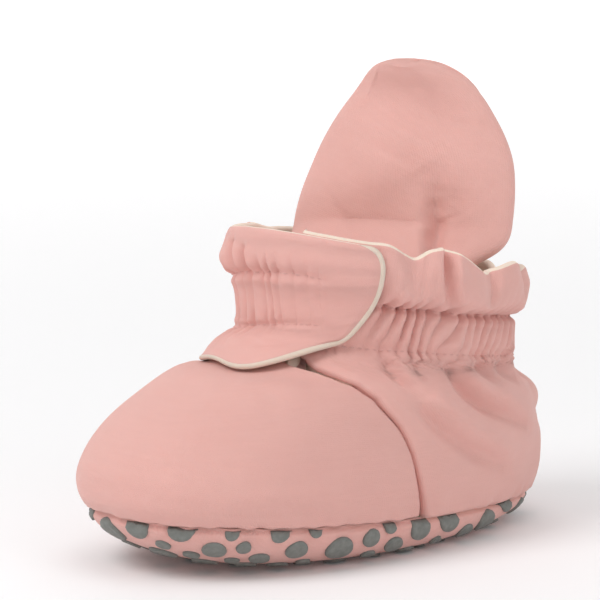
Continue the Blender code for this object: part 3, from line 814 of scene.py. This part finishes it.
def tonguePoint(position, turn):  # turn goes round the section from its left edge over the front
    middle, row = tongueMiddle(position)
    along = unit(tongueMiddle(position + 0.3)[0] - tongueMiddle(position - 0.3)[0])
    lean = np.radians(tongue["turn"] * row[..., 2])
    across = np.stack([np.cos(lean), np.sin(lean), 0 * lean], -1)
    front = unit(np.cross(across, along))
    side, depth = np.cos(turn), np.sin(turn)
    plump = np.sign(depth) * np.abs(depth) ** tongue["plump"]
    offset = plump * tongue["thick"] / 2 * row[..., 4] - tongue["bow"] * row[..., 5] * side * side
    reach = tongue["width"] * row[..., 3] * side / 2
    return middle + across * reach[..., None] + front * offset[..., None]


def tongueFront(p):  # a fold's place: share of the rise, and share across from the middle
    position = np.interp(p[:, 0], tongueRows[:, 1], np.arange(len(tongueRows)))
    return tonguePoint(position, np.arccos(np.clip(p[:, 1], -1, 1)))


def makeTongue():
    end = len(tongueRows) - 1
    position = np.linspace(0, end, tongue["rows"])[:, None]
    turn = np.linspace(0, 2 * math.pi, tongue["sides"] + 1)[None]
    points = tonguePoint(*np.broadcast_arrays(position, turn))
    normals = ringNormals(points)
    height = foldHeights(points, normals, tongue["folds"], tongueFront)
    height = height + tongue["unevenness"] * softNoise(points, 0.02, 41)
    height[:, -1] = height[:, 0]
    points = points + normals * height[..., None]
    cap = points[-1:, :].mean(1, keepdims=True)
    closing = [mix(points[-1:], cap, share) for share in (0.35, 0.7)]
    points = np.concatenate([points, *closing])
    cloth = np.stack([arcLengths(points, 1), arcLengths(points, 0)], -1)
    piece = clothGrid("tonguePad", points[:, ::-1], cloth[:, ::-1], None, (roseCloth,))
    return closeUp(piece)


tonguePiece = finishPiece(makeTongue(), ["tongue"])

# The sole, and the grip dots printed on it
sole = {
    "columns": 300, "wall": 0.0018, "skin": 0.00035, "rimRoll": 0.0012, "rimLevel": 0.45, "flatFrom": 3.9,
    "pucker": 0.00024, "dotHeight": 0.0006, "dotSides": 22, "tries": 6000, "seed": 7,
    # radius, number of dots, clear cloth round each
    "dots": ((0.0035, 30, 0.0021), (0.0026, 44, 0.0018), (0.0018, 64, 0.0015)),
}


def soleGrid(levels, columns):  # the hull's outer surface, its normals, degrees and levels
    degrees, level = np.broadcast_arrays(np.linspace(0, 360, columns + 1)[None], levels[:, None])
    points = solePoint(degrees, level)
    normals = ringNormals(points)
    normals[level > sole["flatFrom"]] = (0, 0, -1)
    return points, normals, degrees, level


def makeSole():
    levels = np.concatenate([np.linspace(0, 4, 56), np.linspace(4.08, 4.999, 12)])
    base, normals, degrees, level = soleGrid(levels, sole["columns"])
    roll = sole["rimRoll"] * (1 - ease(level, 0, sole["rimLevel"]))
    pucker = sole["pucker"] * wobble(degrees, 6, 51)
    pucker = pucker * (1 - ease(level, 0.2, 1.4))
    pucker = pucker * np.minimum(1, np.minimum(degrees, 360 - degrees) / 8)
    outer = base - normals * (sole["skin"] + roll)[..., None] + normals * pucker[..., None]
    inside = base - normals * sole["wall"]
    inner = np.concatenate([inside[::-1][::6], inside[:1]])
    loop = np.concatenate([outer[::-1], inner[::-1]])
    cloth = np.stack([loop[..., 0], loop[..., 1]], -1)
    return closeUp(clothGrid("soleHull", loop, cloth, None, (roseCloth,)))


finishPiece(makeSole(), ["sole"])


def solePattern():
    # The sole's cloth laid flat: for each direction from its middle, the length to each level
    degrees = np.linspace(0, 360, 181)
    levels = np.linspace(5, 0, 101)
    grid = solePoint(degrees[None], np.broadcast_to(levels[:, None], (101, 181)))
    return degrees, levels, arcLengths(grid, 0), grid


def gripLayout(reachAt):
    # Dots in three sizes, scattered with clear cloth between them
    rng = np.random.default_rng(sole["seed"])
    dots = []
    for size, count, gap in sole["dots"]:
        placed = 0
        for _ in range(sole["tries"]):
            if placed == count:
                break
            x, y = rng.uniform(-0.038, 0.038), rng.uniform(-0.068, 0.066)
            radius = size * rng.uniform(0.88, 1.1)
            if math.hypot(x, y) > reachAt(x, y) + radius * 0.4:
                continue
            if all(math.hypot(x - a, y - b) > radius + c + gap for a, b, c in dots):
                dots.append((x, y, radius))
                placed += 1
    return dots


def makeDots():
    degrees, levels, lengths, grid = solePattern()
    bearing = np.degrees(np.unwrap(np.arctan2(grid[60, :, 0], -grid[60, :, 1])))

    def reachAt(x, y):
        way = math.degrees(math.atan2(x, -y)) % 360
        column = np.interp(way, bearing, np.arange(181))
        return float(np.interp(column, np.arange(181), lengths[-1]))

    dots = gripLayout(reachAt)
    vertices, faces = [], []
    sides = sole["dotSides"]
    rings = ((1.0, -0.3), (1.0, 0.45), (0.93, 0.95), (0.75, 1.0), (0.4, 1.0), (0.0, 1.0))  # share, lift
    for x, y, radius in dots:
        first = len(vertices)
        for share, lift in rings[:-1]:
            for k in range(sides):
                turn = 2 * math.pi * k / sides
                reach = radius * share
                vertices.append((x + reach * math.cos(turn), y + reach * math.sin(turn), lift))
        vertices.append((x, y, 1.0))
        for r in range(len(rings) - 2):
            for k in range(sides):
                n = (k + 1) % sides
                a, b = first + r * sides, first + (r + 1) * sides
                faces.append((a + k, b + k, b + n, a + n))
        inner = first + (len(rings) - 2) * sides
        for k in range(sides):
            faces.append((inner + k, len(vertices) - 1, inner + (k + 1) % sides))
    flat = np.array(vertices)
    way = np.degrees(np.arctan2(flat[:, 0], -flat[:, 1])) % 360
    column = np.interp(way, bearing, np.arange(181))
    low = np.minimum(np.floor(column).astype(int), 179)
    part = column - low
    reach = np.hypot(flat[:, 0], flat[:, 1])
    level = np.zeros(len(flat))
    for k in range(len(flat)):
        row = mix(lengths[:, low[k]], lengths[:, low[k] + 1], part[k])
        level[k] = np.interp(reach[k], row, levels)
    level = np.maximum(level, 0.12)
    angle = mix(degrees[low], degrees[low + 1], part)
    step = 0.03
    point = solePoint(angle, level)
    around = solePoint(angle + 0.5, level) - solePoint(angle - 0.5, level)
    down = solePoint(angle, level + step) - solePoint(angle, np.maximum(level - step, 0))
    normal = unit(np.cross(down, around))
    normal[level > sole["flatFrom"]] = (0, 0, -1)
    roll = sole["rimRoll"] * (1 - ease(level, 0, sole["rimLevel"]))
    lift = -sole["skin"] - roll + sole["dotHeight"] * flat[:, 2]
    point = point + normal * lift[:, None]
    point[:, 2] = np.maximum(point[:, 2], 0.0)
    return pointPiece("gripDots", point, faces, gripRubber)


finishPiece(makeDots())

# The footbed inside
footbed = {"columns": 160, "under": 0.0023, "thick": 0.0030, "thinEdge": 0.45}


def makeInsole():
    levels = np.concatenate([np.linspace(1.2, 4, 18), np.linspace(4.1, 4.999, 8)])
    base, normals, _, level = soleGrid(levels, footbed["columns"])
    thinner = footbed["thinEdge"] * (1 - ease(level, 1.2, 1.6))
    top = base - normals * (footbed["under"] + footbed["thick"] * (1 - thinner))[..., None]
    under = base - normals * footbed["under"]
    loop = np.concatenate([under[::-1], top])
    cloth = np.stack([loop[..., 0], loop[..., 1]], -1)
    return closeUp(clothGrid("footbed", loop, cloth, None, (creamCloth,)))


insolePiece = finishPiece(makeInsole(), ["insole"])
print("main pieces ready")


# Trim: cream piping and rows of stitches
def makeTube(name, path, radii, material):
    curve = bpy.data.curves.new(name, "CURVE")
    curve.dimensions = "3D"
    curve.bevel_depth = 1
    curve.bevel_resolution = 3
    curve.use_fill_caps = True
    spline = curve.splines.new("POLY")
    spline.points.add(len(path) - 1)
    for point, place, radius in zip(spline.points, path, radii):
        point.co = (*place, 1)
        point.radius = radius
    tube = bpy.data.objects.new(name, curve)
    bpy.context.scene.collection.objects.link(tube)
    deselect()
    tube.select_set(True)
    bpy.context.view_layer.objects.active = tube
    bpy.ops.object.convert(target="MESH")
    tube = bpy.context.object
    tube.data.materials.append(material)
    tube.data.shade_smooth()
    return tube


def alongPath(where, lengths, path):
    return np.stack([np.interp(where, lengths, path[:, axis]) for axis in range(3)], -1)


def evenPath(path, gap):  # the same path in even steps, with its corners eased
    lengths = arcLengths(path[None], 1)[0]
    even = alongPath(np.linspace(0, lengths[-1], int(lengths[-1] / gap)), lengths, path)
    for _ in range(10):
        even[1:-1] = (even[:-2] + 2 * even[1:-1] + even[2:]) / 4
    return even


def makePiping():  # up the outer wing's front edge, along the flap's lower edge and round its end
    up = np.linspace(0.15, 5.85, 60)
    wing = lastPoint(-wingEdges(up)[:, 1], up, np.full_like(up, -flap["pipingSink"]))
    edge = flapPoints - flapNormals * (flapWall * 0.4)[..., None]
    top = edge[-1, flapDegree[-1] > 40][::-1]
    path = evenPath(np.concatenate([wing, edge[0], edge[1:-1, -1], top]), flap["pipingStep"])
    share = np.linspace(0, 1, len(path))
    radii = np.interp(share, (0, 0.5, 0.68, 0.95, 1), (0.8, 0.7, 1, 1, 0.5)) * flap["piping"]
    return makeTube("flapPiping", path, radii, creamCloth)


finishPiece(makePiping())


def makeStitches(name, path, normals, material):
    # Small round stitches laid end to end along the path
    length, thick = stitch["length"], stitch["thick"]
    deselect()
    bpy.ops.mesh.primitive_uv_sphere_add(segments=8, ring_count=5, radius=0.5)
    first = bpy.context.object
    shape = np.array([v.co[:] for v in first.data.vertices])
    faces = [tuple(p.vertices) for p in first.data.polygons]
    bpy.ops.object.delete()
    gaps = arcLengths(path[None], 1)[0]
    count = int(gaps[-1] / (length * stitch["pitch"]))
    vertices, polygons = [], []
    for k in range(count):
        where = (k + 0.5) / count * gaps[-1]
        place, ahead = alongPath(where, gaps, path), alongPath(where + length / 2, gaps, path)
        out = unit(alongPath(where, gaps, normals))
        along = unit(ahead - place)
        side = np.cross(out, along)
        base = len(vertices)
        for x, y, z in shape:
            vertices.append(place + along * x * length + side * y * thick + out * z * thick)
        polygons += [tuple(base + i for i in face) for face in faces]
    return pointPiece(name, vertices, polygons, material)


stitch = {"length": 0.0012, "pitch": 1.45, "thick": 0.00042, "sink": 0.00005, "flapEnd": 31}
rowsOfStitches = {
    "bandStitchesLow": gridRow(quarterPoints, quarterLevel, np.full(quarter["columns"], ankle["rowLow"])),
    "bandStitchesHigh": gridRow(quarterPoints, quarterLevel, np.full(quarter["columns"], ankle["rowHigh"])),
    "flapStitchesLow": gridRow(flapPoints, flapLevel, flapStitchRows(flapDegree[20])[0]),
    "flapStitchesHigh": gridRow(flapPoints, flapLevel, flapStitchRows(flapDegree[60])[1]),
}
for name, (path, out) in rowsOfStitches.items():
    if name.startswith("flap"):
        sewn = flapDegree[50] < stitch["flapEnd"]
        path, out = path[sewn], out[sewn]
    finishPiece(makeStitches(name, path - out * stitch["sink"], out, threadMaterial))
print("trim ready")

# Studio
studio = {
    "azimuth": 50.0, "elevation": 9.5, "distance": 0.9, "window": 0.1333,
    "sensor": 36, "targetRight": -0.0040, "targetUp": 0.0529, "backdrop": (0.93, 0.93, 0.94),
    "glow": (0.05, 1.3, 0.02, 0.52),  # from, to (metres), glow there
    "world": 0.53, "worldColour": (1, 0.99, 0.98, 1), "paper": 6, "lightsAim": 0.04,
    # azimuth, elevation, distance, size, power
    "lights": {
        "keyLight": (-5, 50, 1.1, 0.6, 4.6), "fillLight": (95, 35, 1.2, 0.9, 1.7),
        "topLight": (70, 80, 1.2, 0.8, 1.6),
    },
}


# painted light: the paper glows by emission, weakly near the bootie and more strongly further away
def paperMaterial(name):  # pale paper, which glows a little more the further it lies from the bootie
    paper, nodes, links, shader = newMaterial(name)
    shader.inputs["Base Color"].default_value = (*studio["backdrop"], 1)
    shader.inputs["Roughness"].default_value = 0.9
    shader.inputs["Specular IOR Level"].default_value = 0.2
    place = nodes.new("ShaderNodeTexCoord")
    far = nodes.new("ShaderNodeVectorMath")
    far.operation = "LENGTH"
    spread = mapRange(nodes, studio["glow"])
    spread.interpolation_type = "SMOOTHSTEP"
    links.new(place.outputs["Object"], far.inputs[0])
    links.new(far.outputs["Value"], spread.inputs["Value"])
    # painted light: an emission glow on the paper, which is no lamp
    shader.inputs["Emission Color"].default_value = (1, 1, 1, 1)
    links.new(spread.outputs[0], shader.inputs["Emission Strength"])
    return paper


def makeStudio():
    deselect()
    bpy.ops.mesh.primitive_plane_add(size=studio["paper"], location=(0, 0, 0))
    floor = bpy.context.object
    floor.name = "floor"
    bpy.ops.mesh.primitive_plane_add(size=studio["paper"], location=(-2.2, 2.2, 1.5))
    wall = bpy.context.object
    wall.name = "backdrop"
    wall.rotation_euler = (math.radians(90), 0, math.radians(45))
    for sheet in (floor, wall):
        sheet.data.materials.append(paperMaterial(f"{sheet.name}Paper"))
    world = bpy.data.worlds.new("studio")
    bpy.context.scene.world = world
    world.use_nodes = True
    sky = world.node_tree.nodes["Background"]
    sky.inputs["Color"].default_value = studio["worldColour"]
    sky.inputs["Strength"].default_value = studio["world"]


def aimAt(item, target):
    item.rotation_euler = (Vector(target) - item.location).to_track_quat("-Z", "Y").to_euler()


def addLight(name, azimuth, elevation, distance, size, power):
    a, e = math.radians(azimuth), math.radians(elevation)
    bpy.ops.object.light_add(type="AREA", location=(
        distance * math.sin(a) * math.cos(e), -distance * math.cos(a) * math.cos(e), distance * math.sin(e)))
    light = bpy.context.object
    light.name = name
    light.data.shape = "DISK"
    light.data.size = size
    light.data.energy = power
    aimAt(light, (0, 0, studio["lightsAim"]))


def makeCamera():
    a, e = math.radians(studio["azimuth"]), math.radians(studio["elevation"])
    right = Vector((math.cos(a), math.sin(a), 0))
    toCamera = Vector((math.sin(a) * math.cos(e), -math.cos(a) * math.cos(e), math.sin(e)))
    up = toCamera.cross(right)
    target = right * studio["targetRight"] + up * studio["targetUp"]
    bpy.ops.object.camera_add(location=target + toCamera * studio["distance"])
    camera = bpy.context.object
    camera.name = "camera"
    camera.data.sensor_width = studio["sensor"]
    camera.data.lens = studio["sensor"] * studio["distance"] / studio["window"]
    camera.data.clip_start = 0.01
    aimAt(camera, target)
    bpy.context.scene.camera = camera


makeStudio()
for name, settings in studio["lights"].items():
    addLight(name, *settings)
makeCamera()
bpy.context.scene.view_settings.view_transform = "Standard"
print("studio ready")
